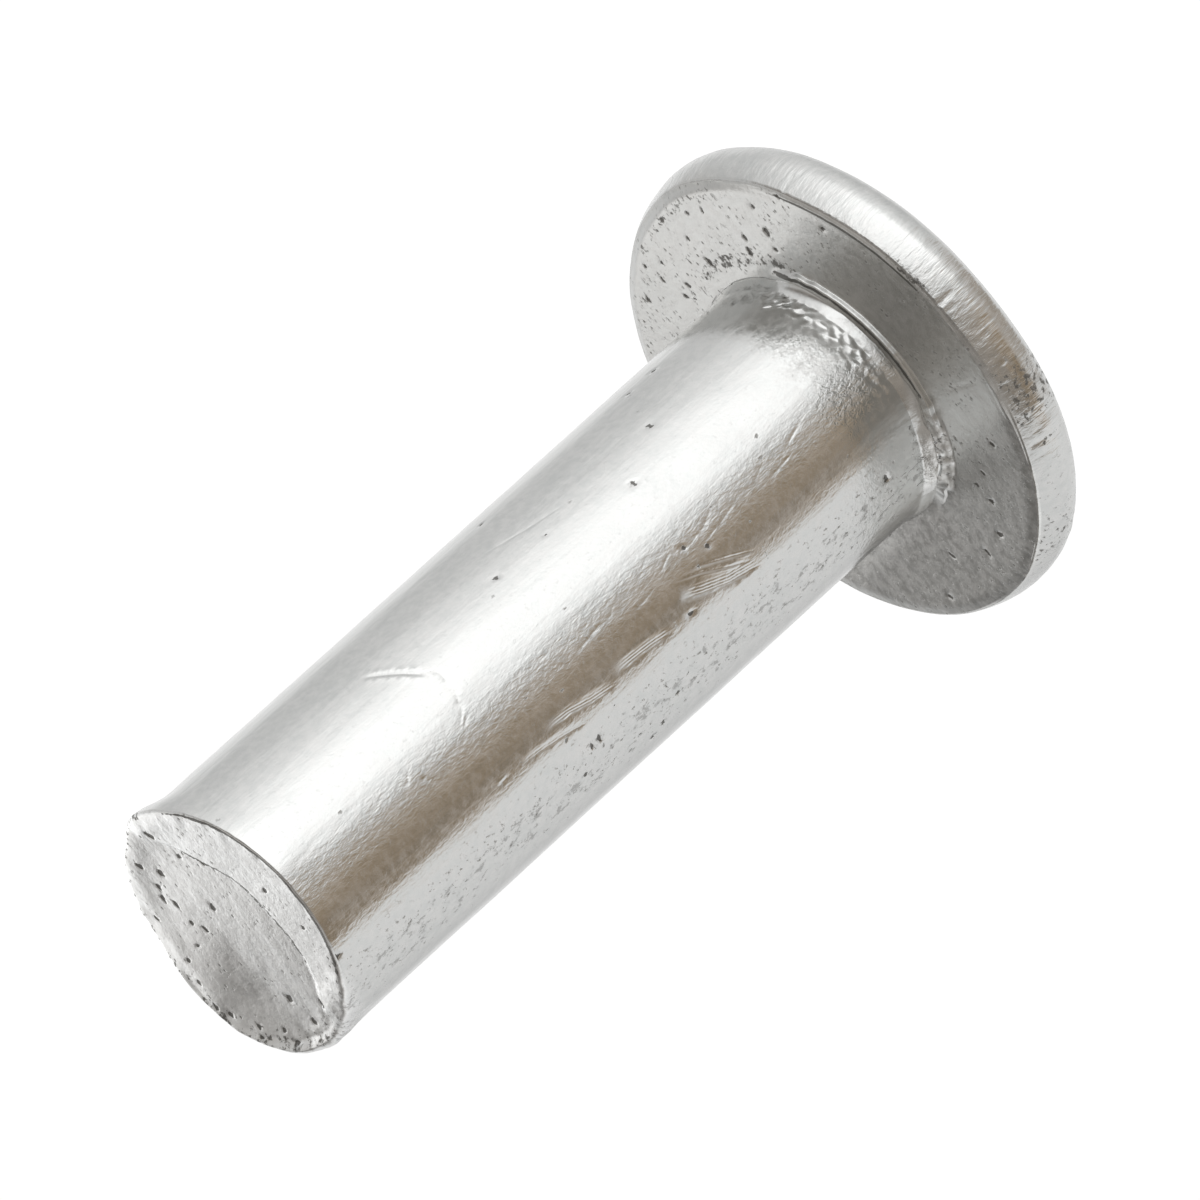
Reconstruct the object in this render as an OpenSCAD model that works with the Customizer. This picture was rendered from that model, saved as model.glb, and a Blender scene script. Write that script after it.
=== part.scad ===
// Brake lining rivet: a solid aluminium rivet with a plain round shank and a thin flat head,
// cold headed from drawn wire in one piece.
// The rivet stands on its head. The origin is the centre of the head's outer face, where it
// rests, and +Z runs along the shank towards the cropped end. All sizes are in millimetres.

/* [Shank] */
// Diameter of the shank
shank_d = 7.9; // [6:0.1:12]
// Length of the shank from the head's bearing face to the highest point of its end
shank_len = 25.1; // [6:0.1:60]

/* [Head] */
// Widest diameter of the head, around the belly of its rim
head_d = 15.1; // [11:0.1:30]
// Thickness of the head at its rim
head_t = 1.9; // [1.4:0.1:4]
// How far the sharp edge of the bearing face lies inside the widest point of the rim
rim_inset = 0.25; // [0.1:0.05:0.6]
// Height of the rim's widest point above the outer face
rim_belly = 0.8; // [0.5:0.05:1]
// Radius between the rim and the outer face
rim_edge_r = 0.5; // [0.2:0.05:0.6]

/* [Root of the shank] */
// Width of the raised land around the foot of the shank
land_w = 0.63; // [0.4:0.01:1.2]
// Height of the land above the bearing face
land_h = 0.16; // [0.05:0.01:1]
// Radius of the hollow fillet between the land and the shank
fillet_r = 0.3; // [0.1:0.05:0.6]

/* [Cropped end] */
// Radius rolled over the edge of the end
end_edge_r = 0.3; // [0.2:0.05:1]
// Lean of the end face, in degrees
end_lean = 1.3; // [0:0.1:6]
// Direction of the end's high side around the shank, in degrees from +X
end_lean_dir = 150; // [0:1:359]
// Diameter of the shallow hollow in the end
hollow_d = 4.6; // [1:0.1:5.2]
// Depth of the hollow
hollow_depth = 0.1; // [0.05:0.01:0.4]

/* [Hidden] */
$fn = 160;

shank_r = shank_d / 2;
head_r = head_d / 2;
top_z = head_t + shank_len;

// the rim's belly is one arc from the edge of the bearing face down past its widest point
belly_rise = head_t - rim_belly;
belly_r = (belly_rise * belly_rise + rim_inset * rim_inset) / (2 * rim_inset);
belly_x = head_r - belly_r;

// the rounding under the belly touches it and the outer face
drop = rim_belly - rim_edge_r;
reach = belly_r - rim_edge_r;
edge_x = belly_x + sqrt(reach * reach - drop * drop);
touch_z = rim_belly - drop * belly_r / reach;
core_r = edge_x - rim_edge_r;

land_r = shank_r + land_w;
land_z = head_t + land_h;

end_flat_r = shank_r - end_edge_r;
hollow_r = hollow_d / 2;
hollow_sphere_r = (hollow_r * hollow_r + hollow_depth * hollow_depth) / (2 * hollow_depth);

// half section of the head before it is cut to its thickness: core, belly, lower rounding
module head_outline() {
    square([core_r, 2 * head_t]);
    square([edge_x, rim_edge_r]);
    translate([edge_x, rim_edge_r]) circle(r = rim_edge_r);
    intersection() {
        translate([belly_x, rim_belly]) circle(r = belly_r);
        translate([core_r, touch_z]) square([head_r, 2 * head_t]);
    }
}

// half section of the head, cut off flat at the bearing face
module head_section() {
    intersection() {
        head_outline();
        square([head_r, head_t]);
    }
}

// half section of the land and the hollow fillet that runs up into the shank
module root_section() {
    square([land_r, land_z]);
    difference() {
        square([shank_r + fillet_r, land_z + fillet_r]);
        translate([shank_r + fillet_r, land_z + fillet_r]) circle(r = fillet_r);
    }
}

// half section of the shank, with the edge of its end rolled over
module shank_section() {
    square([shank_r, top_z - end_edge_r]);
    square([end_flat_r, top_z]);
    translate([end_flat_r, top_z - end_edge_r]) circle(r = end_edge_r);
}

// moves its children onto the leaning end face: z = 0 is the face, the origin is on the axis
module on_end_face() {
    rotate([0, 0, end_lean_dir])
        translate([end_flat_r, 0, top_z])
            rotate([0, -end_lean, 0])
                translate([-end_flat_r, 0, 0])
                    children();
}

// everything above the leaning end face, and the shallow hollow in it
module cropping() {
    on_end_face() {
        translate([-shank_d, -shank_d, 0]) cube([2 * shank_d, 2 * shank_d, shank_d]);
        translate([0, 0, hollow_sphere_r - hollow_depth]) sphere(r = hollow_sphere_r);
    }
}

module rivet() {
    color([0.80, 0.80, 0.79])
        difference() {
            rotate_extrude() {
                head_section();
                root_section();
                shank_section();
            }
            cropping();
        }
}

rivet();
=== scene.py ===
"""Brake lining rivet: cold headed bare aluminium, standing on its head in a pale studio."""

import math

import bmesh
import bpy
from mathutils import Matrix, Vector, noise


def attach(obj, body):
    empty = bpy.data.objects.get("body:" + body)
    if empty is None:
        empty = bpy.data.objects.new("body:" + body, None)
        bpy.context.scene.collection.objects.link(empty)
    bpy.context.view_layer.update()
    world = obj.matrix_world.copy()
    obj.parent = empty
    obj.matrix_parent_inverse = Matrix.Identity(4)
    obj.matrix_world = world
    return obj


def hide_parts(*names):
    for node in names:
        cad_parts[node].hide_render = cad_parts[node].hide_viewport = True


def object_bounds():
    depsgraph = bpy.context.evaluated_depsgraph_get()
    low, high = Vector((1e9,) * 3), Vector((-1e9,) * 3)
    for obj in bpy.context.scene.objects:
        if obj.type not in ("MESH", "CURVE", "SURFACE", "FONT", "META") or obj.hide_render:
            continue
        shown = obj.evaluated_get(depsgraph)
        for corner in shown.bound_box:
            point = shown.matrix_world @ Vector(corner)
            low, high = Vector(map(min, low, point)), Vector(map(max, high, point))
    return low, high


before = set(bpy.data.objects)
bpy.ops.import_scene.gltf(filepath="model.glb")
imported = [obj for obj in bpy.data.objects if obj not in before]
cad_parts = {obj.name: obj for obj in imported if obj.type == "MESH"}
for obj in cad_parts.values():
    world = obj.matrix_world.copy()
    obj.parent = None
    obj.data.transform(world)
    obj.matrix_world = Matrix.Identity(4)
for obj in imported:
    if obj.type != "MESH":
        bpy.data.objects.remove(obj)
cad_low, cad_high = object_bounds()

# ---------------------------------------------------------------- sizes, in millimetres
MM = 0.001
HEAD_R = cad_high.x / MM
TOP_Z = cad_high.z / MM
HEAD_T = 1.9
SHANK_R = 3.95
RIM_INSET = 0.25
RIM_BELLY = 0.8
RIM_EDGE_R = 0.5
FACE_EDGE_R = 0.09
LAND_R = 4.58
LAND_H = 0.16
LAND_Z = HEAD_T + LAND_H
FILLET_R = 0.3
ROOT_R = SHANK_R + FILLET_R
ROOT_Z = LAND_Z + FILLET_R
ROOT_H = LAND_H + FILLET_R
END_EDGE_R = 0.3
END_FLAT_R = SHANK_R - END_EDGE_R

# The blank's rings lie closer below HAMMERED_Z, above CUT_Z and inside FACE_CLOSE_R.
HAMMERED_Z = 3.6
CUT_Z = TOP_Z - 0.8
FACE_CLOSE_R = 4.95
AROUND = 256
TINY = 0.0001

# The head's edge between the bearing face and the rim, where the rim's marks begin, and the
# height on the rim from which the wear of its two edges fades.
EDGE_R = 7.2
RIM_FROM_R = 7.1
RIM_MIDDLE = 1.0

# The head was struck a little to one side of the shank.
HEAD_SHIFT = (-0.16, -0.25)
END_LEAN = math.tan(math.radians(1.3))
END_HIGH_SIDE = 150
SHARP_EDGE_R = 0.08

# Marks on the shank: azimuth in degrees, height above the bearing face in millimetres.
# A groove is its path, then half its width, then its depth.
SHANK_GROOVES = [
    ([(-45.8, 18.65), (-48, 18.4), (-52, 18.15), (-58, 17.8), (-62, 17.6), (-66, 17.35)],
     0.12, 0.03),
    ([(-62, 17.45), (-68.4, 17.15), (-78.3, 17.3), (-87, 17.65), (-91.5, 18.15)], 0.07, 0.008),
    ([(-87.5, 17.5), (-91.5, 17.9)], 0.06, 0.014),
    ([(-93, 20.1), (-99.5, 19.65)], 0.06, 0.016),
    ([(-89, 20.15), (-93.5, 20.4)], 0.06, 0.014),
    ([(-118.3, 17.65), (-118.5, 18.0)], 0.07, 0.016),
    ([(-118.5, 6.9), (-112.8, 7.85), (-107, 8.8), (-104.9, 9.4)], 0.06, 0.014),
    ([(-120.5, 7.2), (-115, 8.1), (-109.4, 8.9), (-104, 9.95)], 0.05, 0.011),
    ([(-96.5, 6.6), (-99.5, 7.5), (-101, 8.5)], 0.05, 0.01),
    ([(-92, 7.4), (-96, 8.0), (-98, 8.9)], 0.05, 0.01),
    ([(-94, 9.3), (-98.5, 10.1)], 0.05, 0.01), ([(-101, 10.4), (-103, 11.6)], 0.05, 0.009),
    ([(-92.5, 5.2), (-97, 5.9)], 0.05, 0.01), ([(-98, 4.3), (-100, 5.6)], 0.05, 0.01),
    ([(-90.5, 3.4), (-95, 4.4)], 0.05, 0.01), ([(-97, 12.4), (-99.5, 13.8)], 0.05, 0.009),
    ([(-39, 13.2), (-42, 12.4), (-45.3, 11.6), (-47.6, 10.8), (-49.8, 10.0)], 0.05, 0.008),
    ([(-41, 1.2), (-52, 0.55)], 0.06, 0.014),
]
# A scrape is a shallow flat lying along its path, with a low wall on its right hand side.
SHANK_SCRAPES = [
    ([(-122.0, 6.9), (-118.5, 8.2), (-113.5, 9.2), (-109.0, 9.95)], 0.27, 0.05),
    ([(-118.3, 10.6), (-116.6, 11.5), (-115.8, 12.2), (-115.2, 13.0)], 0.17, 0.034),
    ([(-119.2, 13.0), (-117.2, 14.05), (-114.4, 14.9), (-113.4, 15.8)], 0.16, 0.034),
    ([(-123.5, 14.4), (-120.5, 15.4), (-118.6, 16.3), (-117.6, 17.1)], 0.12, 0.02),
]
# A pit is its place, its two half sizes, how its long side is turned, and its depth.
SHANK_PITS = [
    (-135.5, 1.9, 0.16, 0.11, 20, 0.06), (-134.6, 14.3, 0.15, 0.08, 15, 0.045),
    (-134.9, 14.65, 0.16, 0.06, -10, 0.04), (-146, 11.15, 0.08, 0.07, 0, 0.04),
    (-155, 11.8, 0.13, 0.06, 15, 0.04), (-158.6, 12.2, 0.12, 0.06, 15, 0.04),
    (-150.4, 12.75, 0.09, 0.05, 30, 0.03), (-127.8, 13.4, 0.09, 0.07, 0, 0.03),
    (-53.5, 11.5, 0.08, 0.06, 0, 0.04), (-63.6, 8.5, 0.11, 0.05, 20, 0.035),
    (-48.4, 6.55, 0.08, 0.06, 0, 0.04), (-21.2, 4.3, 0.12, 0.07, 10, 0.04),
    (-21.6, 5.4, 0.08, 0.06, 0, 0.03), (-25.2, 5.5, 0.08, 0.05, 0, 0.03),
    (-19.9, 11.65, 0.1, 0.06, 10, 0.03), (-53.7, 13.55, 0.07, 0.06, 0, 0.03),
    (-96.8, 8.95, 0.1, 0.07, 40, 0.035), (-103, 8.3, 0.1, 0.08, -30, 0.035),
    (-119.2, 9.9, 0.1, 0.08, 0, 0.035), (-144.8, 15.1, 0.09, 0.06, 20, 0.03),
    (-126.7, 24.85, 0.1, 0.1, 0, 0.05),
]
# Marks on the bearing face: x and y in millimetres.
FACE_PITS = [
    (5.33, -3.8, 0.12, 0.08, 0, 0.036), (4.75, -2.6, 0.17, 0.07, -10, 0.036),
    (4.5, -3.57, 0.19, 0.1, -8, 0.042), (4.85, -0.42, 0.2, 0.08, 10, 0.042),
    (4.55, -0.45, 0.12, 0.07, 20, 0.036), (4.64, 1.67, 0.14, 0.08, 30, 0.036),
    (4.33, 1.41, 0.14, 0.05, 0, 0.03), (5.4, 3.47, 0.14, 0.07, 10, 0.03),
    (3.61, -5.68, 0.11, 0.08, 60, 0.036), (6.85, 0.13, 0.1, 0.07, 0, 0.03),
    (6.41, -1.07, 0.12, 0.05, -10, 0.03), (6.2, -1.75, 0.15, 0.05, -20, 0.03),
    (5.9, 1.61, 0.1, 0.07, 0, 0.03), (6.19, 2.44, 0.1, 0.05, 0, 0.03),
    (5.5, 2.14, 0.15, 0.05, 10, 0.03), (5.1, -5.05, 0.1, 0.05, 0, 0.03),
    (4.83, 1.2, 0.13, 0.07, 40, 0.03), (4.29, 0.65, 0.16, 0.08, 10, 0.034),
    (4.33, -2.35, 0.16, 0.08, -20, 0.034), (4.02, -1.85, 0.19, 0.09, 15, 0.034),
    (3.5, -2.5, 0.15, 0.08, 30, 0.03), (5.85, -0.3, 0.11, 0.05, 0, 0.03),
    (-3.94, -4.75, 0.11, 0.07, 10, 0.03), (-4.4, -3.5, 0.1, 0.05, 0, 0.024),
    (-4.57, -2.9, 0.08, 0.05, 0, 0.024), (-5.14, -2.82, 0.1, 0.08, 0, 0.03),
    (-5.91, -1.9, 0.11, 0.11, 0, 0.03), (-6.08, -0.82, 0.16, 0.07, -15, 0.036),
    (-5.6, 0.55, 0.14, 0.07, 10, 0.024), (-6.33, 2.16, 0.12, 0.07, 0, 0.03),
    (3.9, -3.4, 0.11, 0.07, 0, 0.03), (1.0, 5.8, 0.14, 0.07, 15, 0.03), (-2.4, 6.0, 0.12, 0.07, -10, 0.03),
]
FACE_GROOVES = [
    ([(-2.05, -4.85), (-2.2, -5.65), (-2.4, -6.6)], 0.09, 0.01),
    ([(-2.35, -4.9), (-2.6, -5.6), (-2.7, -6.3)], 0.06, 0.006),
]
# Marks on the cropped end: x and y in millimetres.
END_PITS = [
    (3.15, 0.1, 0.17, 0.1, 10, 0.017), (2.8, 1.54, 0.17, 0.09, 20, 0.02),
    (2.29, 1.04, 0.14, 0.13, 0, 0.023), (2.08, 1.56, 0.13, 0.1, 0, 0.02),
    (1.81, 1.81, 0.14, 0.09, -20, 0.017), (1.48, 1.5, 0.18, 0.09, -10, 0.02),
    (1.64, 2.77, 0.11, 0.07, 0, 0.013), (2.24, -0.17, 0.08, 0.09, 0, 0.013),
    (1.9, -0.87, 0.12, 0.07, 0, 0.01), (0.71, 0.22, 0.11, 0.09, 0, 0.017),
    (0.92, 1.58, 0.1, 0.09, 0, 0.017), (0.59, 1.35, 0.14, 0.09, -15, 0.02),
    (0.4, 2.21, 0.07, 0.07, 0, 0.013), (0.25, 3, 0.1, 0.09, 0, 0.017),
    (-0.39, 3.28, 0.14, 0.09, 0, 0.013), (-1.19, 3.34, 0.14, 0.1, 0, 0.017),
    (-1.59, 3.06, 0.14, 0.1, 20, 0.017), (-2.27, 0.53, 0.14, 0.14, 0, 0.026),
    (-3, -0.76, 0.18, 0.09, -15, 0.02), (-2.8, 1.69, 0.12, 0.09, 0, 0.017),
    (-3.18, 0.33, 0.12, 0.09, 0, 0.017), (-2.29, 2.41, 0.12, 0.09, 0, 0.017),
    (-2.6, 2.59, 0.14, 0.09, 0, 0.017), (-3.3, 1.6, 0.14, 0.09, 40, 0.02),
    (0.25, -2.51, 0.1, 0.1, 0, 0.017), (-1.1, -2.71, 0.08, 0.09, 0, 0.013),
]
END_LEDGE = [(3.3, 0.6), (2.6, -0.3), (2.0, -0.88), (1.57, -1.24), (1.15, -1.55), (0.6, -1.78),
             (-0.1, -1.84), (-1.0, -1.84), (-1.7, -1.7), (-2.4, -1.35), (-3.2, -0.6)]
# Marks across the rim: azimuth in degrees, low and high ends in millimetres, half width, depth.
RIM_GROOVES = [
    (-102, 0.8, 1.8, 0.06, 0.02), (-109, 0.8, 1.85, 0.07, 0.025), (-90.5, 1.25, 1.85, 0.12, 0.04),
    (-93, 1.5, 1.85, 0.08, 0.03), (-113.5, 1.5, 1.85, 0.08, 0.03), (-129, 0.4, 1.7, 0.11, 0.05),
    (-100, 0.8, 1.5, 0.05, 0.015), (-122.5, 1.25, 1.75, 0.06, 0.02), (-132.5, 0.8, 1.15, 0.05, 0.02),
    (-46, 1.15, 1.8, 0.09, 0.03), (-41, 1.05, 1.5, 0.05, 0.015), (-54, 1.45, 1.7, 0.05, 0.015),
    (-55.5, 0.55, 1.35, 0.05, 0.012), (-134, 1.5, 1.85, 0.05, 0.02), (-140, 1.45, 1.8, 0.05, 0.015),
    (-162, 1.05, 1.35, 0.05, 0.02), (-107, 1.1, 1.7, 0.05, 0.012), (-96, 1.0, 1.6, 0.05, 0.012),
    (150, 0.6, 1.6, 0.06, 0.02), (95, 0.8, 1.5, 0.05, 0.015), (60, 0.7, 1.7, 0.07, 0.02),
    (30, 0.9, 1.4, 0.05, 0.015), (118, 0.9, 1.7, 0.06, 0.02),
]


# ---------------------------------------------------------------- small helpers
def rise(low, high, value):
    """0 up to low, 1 from high on, with a smooth step between them."""
    t = min(max((value - low) / (high - low), 0.0), 1.0)
    return t * t * (3 - 2 * t)


def turned(azimuth, centre):
    """How far apart two azimuths are, in degrees."""
    return abs((azimuth - centre + 180) % 360 - 180)


def side(azimuth, centre, reach, flat=0.0):
    """1 within flat degrees of the centre azimuth, fading to 0 over the next reach degrees."""
    return 1 - rise(flat, flat + reach, turned(azimuth, centre))


def rough(x, y, z, size, seed=0.0):
    """Smooth noise from -1 to 1 with bumps about size millimetres across."""
    return noise.noise(Vector((x / size + seed, y / size - seed, z / size)))


def steps(start, stop, size):
    """Evenly spaced values from start to stop, both included, about size apart."""
    count = max(1, round(abs(stop - start) / size))
    return [start + (stop - start) * i / count for i in range(count + 1)]


def arc(centre, radius, start, stop, count):
    """Points of an arc in the half section, from angle start to stop in degrees."""
    turn = [math.radians(a) for a in steps(start, stop, abs(stop - start) / count)]
    return [(centre[0] + radius * math.cos(t), centre[1] + radius * math.sin(t)) for t in turn]


# ---------------------------------------------------------------- the turned blank
def half_section():
    """The outline, from the middle of the head's outer face to the middle of the cropped end."""
    rise_z = HEAD_T - RIM_BELLY
    belly_r = (rise_z * rise_z + RIM_INSET * RIM_INSET) / (2 * RIM_INSET)
    belly_x = HEAD_R - belly_r

    def tucked(radius, height):
        """Centre and touching angle of an edge arc that lies inside the rim's belly."""
        reach = belly_r - radius
        return belly_x + math.sqrt(reach * reach - height * height), math.asin(height / reach)

    low_x, low_turn = tucked(RIM_EDGE_R, RIM_BELLY - RIM_EDGE_R)
    face_x, face_turn = tucked(FACE_EDGE_R, rise_z - FACE_EDGE_R)
    low_deg, face_deg = -math.degrees(low_turn), math.degrees(face_turn)

    points = [(r, 0.0) for r in steps(0.0, low_x, 0.7)]
    points += arc((low_x, RIM_EDGE_R), RIM_EDGE_R, -90, low_deg, 8)[1:]
    points += arc((belly_x, RIM_BELLY), belly_r, low_deg, face_deg, 17)[1:]
    points += arc((face_x, HEAD_T - FACE_EDGE_R), FACE_EDGE_R, face_deg, 90, 5)[1:]
    edge_gaps = (0.03, 0.07, 0.12, 0.19, 0.28, 0.38)
    points += [(face_x - gap, HEAD_T) for gap in edge_gaps]
    points += [(r, HEAD_T) for r in steps(face_x - edge_gaps[-1], FACE_CLOSE_R, 0.12)][1:]
    points += [(r, HEAD_T) for r in steps(FACE_CLOSE_R, LAND_R + 0.03, 0.06)][1:]
    step_gaps = (-0.012, 0.0, 0.012, 0.03, 0.06, 0.1, 0.15, 0.2, 0.25)
    points += [(LAND_R - gap, HEAD_T) for gap in step_gaps]
    points.append((ROOT_R + 0.02, HEAD_T))
    points += arc((ROOT_R, ROOT_Z), FILLET_R, 270, 180, 6)
    points += [(SHANK_R, z) for z in steps(ROOT_Z, HAMMERED_Z, 0.07)][1:]
    points += [(SHANK_R, z) for z in steps(HAMMERED_Z, CUT_Z, 0.22)][1:]
    points += [(SHANK_R, z) for z in steps(CUT_Z, TOP_Z - END_EDGE_R, 0.08)][1:]
    points += arc((END_FLAT_R, TOP_Z - END_EDGE_R), END_EDGE_R, 0, 90, 6)[1:]
    points += [(r, TOP_Z) for r in steps(END_FLAT_R, 0.0, 0.12)][1:]
    return points


def spun_blank():
    """The half section spun once round the axis and closed at both poles."""
    bm = bmesh.new()
    verts = [bm.verts.new((r, 0.0, z)) for r, z in half_section()]
    edges = [bm.edges.new(pair) for pair in zip(verts, verts[1:])]
    bmesh.ops.spin(
        bm,
        geom=verts + edges,
        cent=(0, 0, 0),
        axis=(0, 0, 1),
        angle=math.tau,
        steps=AROUND,
        use_merge=True,
    )
    bmesh.ops.remove_doubles(bm, verts=bm.verts[:], dist=0.0005)
    bmesh.ops.recalc_face_normals(bm, faces=bm.faces[:])
    return bm


# ---------------------------------------------------------------- marks
def on_shank(azimuth, height):
    """A place on the unrolled shank: millimetres round it and millimetres up."""
    return Vector((math.radians(azimuth) * SHANK_R, height))


def path_distance(spot, path):
    """Distance from a spot to a path of points, and how far along the path it is, 0 to 1."""
    best, where = 1e9, 0.0
    for i, (a, b) in enumerate(zip(path, path[1:])):
        run = b - a
        t = min(max((spot - a).dot(run) / run.length_squared, 0.0), 1.0)
        gap = (spot - a - run * t).length
        if gap < best:
            best, where = gap, (i + t) / (len(path) - 1)
    return best, where


def scrape_depth(spot, path, half, depth):
    """A flat that leans down to a wall along its lower edge, with fine lines along it."""
    gap, along = path_distance(spot, path)
    if gap > half:
        return 0.0
    i = min(int(along * (len(path) - 1)), len(path) - 2)
    run, away = path[i + 1] - path[i], spot - path[i]
    across = math.copysign(gap / half, run.y * away.x - run.x * away.y)
    taper = rise(0.0, 0.25, along) * rise(0.0, 0.25, 1 - along)
    across += 0.12 * rough(spot.x, spot.y, 0.0, 0.3, 4.0)
    leaning = min((across + 1) / 0.28, (1 - across) / 1.72)
    lines = 0.12 * math.cos(math.tau * gap / 0.085) * rise(0.2, 0.6, leaning)
    return -depth * taper * (min(max(leaning, 0.0), 1.0) + lines)


def groove_depth(spot, path, half, depth):
    """A ploughed groove: fine lines along it, a low raised lip, running out at both ends."""
    gap, along = path_distance(spot, path)
    if gap > 2.2 * half:
        return 0.0
    taper = rise(0.0, 0.3, along) * rise(0.0, 0.3, 1 - along)
    half *= 1 + 0.3 * rough(spot.x, spot.y, 0.0, 0.5, 7.0)
    dip = (1 - min(gap / half, 1.0) ** 2) ** 2
    lines = 0.3 * math.cos(math.tau * gap / 0.07) * dip * rise(0.07, 0.1, half)
    lip = 0.4 * rise(0.7, 1.2, gap / half) * (1 - rise(1.2, 2.0, gap / half))
    return depth * taper * (lip - dip - lines)


def pit_share(spot, pit):
    """1 in the middle of a ragged pit and 0 outside it."""
    x, y, long_half, short_half, turn, _ = pit
    away = spot - Vector((x, y))
    if away.length > 2.0 * long_half:
        return 0.0
    away.rotate(Matrix.Rotation(math.radians(-turn), 2))
    reach = math.hypot(away.x / long_half, away.y / short_half)
    reach *= 1 + 0.55 * rough(spot.x, spot.y, 3.0, 0.11, 2.0)
    return 1 - rise(0.55, 1.15, reach)


class Marks:
    """The grooves and pits of one surface, in that surface's own two directions."""

    def __init__(self, grooves, pits, unroll=None):
        place = unroll or (lambda a, b: Vector((a, b)))
        self.grooves = [([place(*p) for p in path], half, depth) for path, half, depth in grooves]
        self.pits = [(*place(p[0], p[1]), *p[2:]) for p in pits]
        # every square millimetre of the surface keeps the marks that lie near it
        self.cells = {}
        for groove in self.grooves:
            for a, b in zip(groove[0], groove[0][1:]):
                for i in range(9):
                    self.note(a.lerp(b, i / 8), 2.2 * groove[1], 0, groove)
        for pit in self.pits:
            self.note(Vector(pit[:2]), 2.0 * pit[2], 1, pit)

    def note(self, spot, reach, kind, mark):
        span = int(reach) + 1
        cx, cy = math.floor(spot.x), math.floor(spot.y)
        for i in range(cx - span, cx + span + 1):
            for j in range(cy - span, cy + span + 1):
                near = self.cells.setdefault((i, j), ([], []))[kind]
                if mark not in near:
                    near.append(mark)

    def near(self, spot):
        return self.cells.get((math.floor(spot.x), math.floor(spot.y)), ((), ()))

    def touches(self, spot):
        grooves, pits = self.near(spot)
        if any((spot - Vector(p[:2])).length < 1.5 * p[2] for p in pits):
            return True
        return self.scored(spot, 2.0)

    def pitted(self, spot):
        return any((spot - Vector(p[:2])).length < 1.3 * p[2] for p in self.near(spot)[1])

    def scored(self, spot, reach):
        """True within reach half widths of a groove."""
        return any(path_distance(spot, g[0])[0] < reach * g[1] for g in self.near(spot)[0])

    def relief(self, spot):
        """Height change of the surface at a spot, and how dark with dirt a pit makes it."""
        grooves, pits = self.near(spot)
        height, dirt = 0.0, 0.0
        for groove in grooves:
            height += groove_depth(spot, *groove)
        for pit in pits:
            share = pit_share(spot, pit)
            height -= share * pit[5]
            dirt = max(dirt, share)
        return height, dirt


shank_marks = Marks(SHANK_GROOVES, SHANK_PITS, on_shank)
scrapes = [([on_shank(*p) for p in path], half, depth) for path, half, depth in SHANK_SCRAPES]
face_marks = Marks(FACE_GROOVES, FACE_PITS)
end_marks = Marks([], END_PITS)
ledge_path = [Vector(p) for p in END_LEDGE]


def is_shank(co):
    return co.z > ROOT_Z - TINY and math.hypot(co.x, co.y) > SHANK_R - 0.01


def is_face(co):
    return abs(co.z - HEAD_T) < TINY and math.hypot(co.x, co.y) > LAND_R + 0.05


def is_end(co):
    return co.z > TOP_Z - TINY


def unrolled(co):
    return on_shank(math.degrees(math.atan2(co.y, co.x)), co.z - HEAD_T)


def scraped(spot):
    return any(path_distance(spot, s[0])[0] < s[1] + 0.06 for s in scrapes)


def marked(co):
    """Where the mesh has to be closer: at marks, and where root and rim face the front."""
    if is_shank(co) and (shank_marks.touches(unrolled(co)) or scraped(unrolled(co))):
        return True
    if is_face(co) and face_marks.touches(co.xy):
        return True
    if is_end(co):
        return end_marks.touches(co.xy) or path_distance(co.xy, ledge_path)[0] < 0.16
    front = turned(math.degrees(math.atan2(co.y, co.x)), -92) < 84
    r = math.hypot(co.x, co.y)
    return front and (r < 4.66 and HEAD_T - TINY < co.z < HEAD_T + 1.25 or r > 7.08 and co.z > 1.2)


def closely_scored(co):
    if is_shank(co):
        spot = unrolled(co)
        return shank_marks.scored(spot, 1.15) or shank_marks.pitted(spot) or scraped(spot)
    return is_face(co) and face_marks.pitted(co.xy) or is_end(co) and end_marks.pitted(co.xy)


def refine(bm):
    """Closer mesh where it is needed, its new points put back on the round shank, and no
    face left with more than four sides."""
    for wanted in (marked, closely_scored):
        hot = {v for v in bm.verts if wanted(v.co)}
        edges = [e for e in bm.edges if e.verts[0] in hot and e.verts[1] in hot]
        bmesh.ops.subdivide_edges(bm, edges=edges, cuts=1, use_grid_fill=True)
        for v in bm.verts:
            if is_shank(v.co) and v.co.z < TOP_Z - END_EDGE_R:
                v.co.xy = v.co.xy.normalized() * SHANK_R
    many_sided = [f for f in bm.faces if len(f.verts) > 4]
    bmesh.ops.poke(bm, faces=many_sided, center_mode="MEAN_WEIGHTED")


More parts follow.
